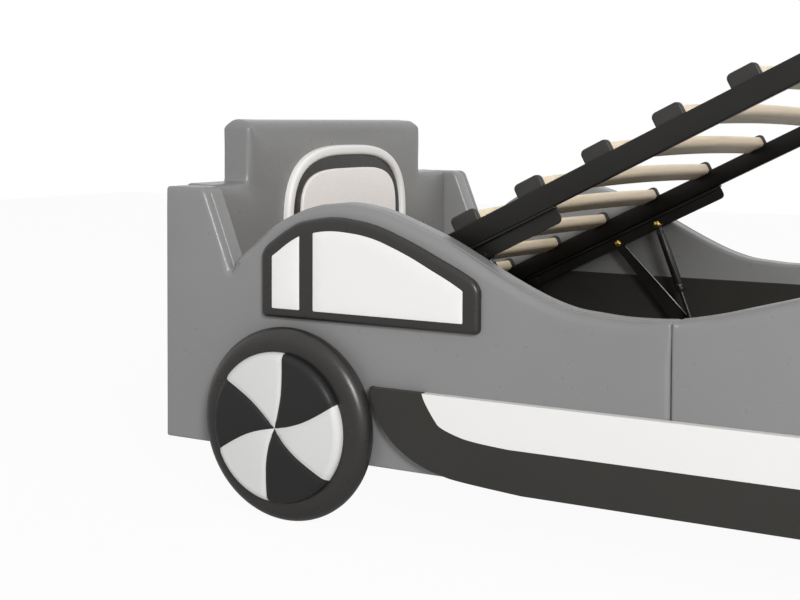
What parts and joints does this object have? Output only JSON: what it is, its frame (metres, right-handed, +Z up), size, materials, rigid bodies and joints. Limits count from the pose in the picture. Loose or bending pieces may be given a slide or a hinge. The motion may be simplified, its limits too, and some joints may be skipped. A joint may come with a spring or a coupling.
{
  "type": "car bed for children",
  "caption": "Upholstered children's bed in the shape of a car, its slatted frame raised on gas struts over a storage box.",
  "frame": {"origin": "middle of the bounding box, on the floor", "axes": "+X towards the front of the car, the foot of the bed; +Z up; -Y is the side seen in the picture"},
  "size_m": [2.053, 1.278, 1.1874],
  "materials": {
    "beech": "varnished",
    "black_leather": "satin",
    "black_plastic": "satin",
    "brass": "polished",
    "dark_board": "matt",
    "dark_steel": "satin",
    "grey_leather": "satin",
    "white_board": "satin",
    "white_leather": "satin"
  },
  "bodies": {
    "bed_body": {"side_rear_near": "grey_leather", "side_rear_far": "grey_leather", "side_front_near": "grey_leather", "side_front_far": "grey_leather", "headboard": "grey_leather", "footboard": "grey_leather", "emblem_ring": "white_leather", "emblem_band": "black_leather", "emblem_glass": "white_board", "headlight_near": "white_board", "headlight_far": "white_board", "grille": "black_plastic", "window_near": "black_leather", "window_far": "black_leather", "panes_near": "white_board", "panes_far": "white_board", "skirt_near": "black_plastic", "skirt_far": "black_plastic", "skirt_inset_near": "white_board", "skirt_inset_far": "white_board", "bumper": "black_plastic", "bumper_inset": "white_board", "tyre_rear_near": "black_leather", "tyre_rear_far": "black_leather", "tyre_front_near": "black_leather", "tyre_front_far": "black_leather", "hub_rear_near": "black_leather", "hub_rear_far": "black_leather", "hub_front_near": "black_leather", "hub_front_far": "black_leather", "hub_sectors": "white_leather", "lining_near": "dark_board", "lining_far": "dark_board", "floor_rear": "dark_board", "floor_front": "dark_board", "centre_beam": "beech", "legs": "dark_board", "mech_base_near": "dark_steel", "mech_base_far": "dark_steel", "base_bolts": "brass", "corner_brackets": "dark_steel", "frame_rests": "dark_steel"},
    "lift_frame": {"rail_near": "dark_steel", "rail_far": "dark_steel", "cross_rear": "dark_steel", "cross_front": "dark_steel", "slats": "beech", "slat_caps": "black_plastic", "mech_bar_near": "dark_steel", "mech_bar_far": "dark_steel", "frame_bolts": "brass"},
    "front_arms": {"arm_near": "dark_steel", "arm_far": "dark_steel"},
    "rear_links": {"link_near": "dark_steel", "link_far": "dark_steel"},
    "strut_cylinders": {"strut_cyl_near": "dark_steel", "strut_cyl_far": "dark_steel"},
    "strut_rods": {"strut_rod_near": "dark_steel", "strut_rod_far": "dark_steel"}
  },
  "joints": [
    {"name": "arm_swing", "type": "hinge", "parent": "bed_body", "child": "front_arms", "pos_m": [-0.28629, 0, 0.22939], "axis": [0, 1, 0], "range_deg": [-34, 0]},
    {"name": "frame_fold", "type": "hinge", "parent": "front_arms", "child": "lift_frame", "pos_m": [-0.48435, 0, 0.44936], "axis": [0, 1, 0], "range_deg": [0, 61.01]},
    {"name": "link_swing", "type": "hinge", "parent": "bed_body", "child": "rear_links", "pos_m": [-0.69525, 0, 0.19006], "axis": [0, 1, 0], "range_deg": [-46.51, 0]},
    {"name": "strut_swing", "type": "hinge", "parent": "lift_frame", "child": "strut_cylinders", "pos_m": [-0.38323, 0, 0.50089], "axis": [0, 1, 0], "range_deg": [-61, 0]},
    {"name": "strut_stroke", "type": "slide", "parent": "strut_cylinders", "child": "strut_rods", "axis": [0.342, 0, -0.9397], "range_m": [-0.11874, 0]}
  ],
  "couplings": [
    {"joint": "frame_fold", "follows": "arm_swing", "ratio": -1.7941},
    {"joint": "link_swing", "follows": "arm_swing", "ratio": 1.3677},
    {"joint": "strut_swing", "follows": "arm_swing", "ratio": 1.7937},
    {"joint": "strut_stroke", "follows": "arm_swing", "m_per_rad": 0.19992}
  ]
}
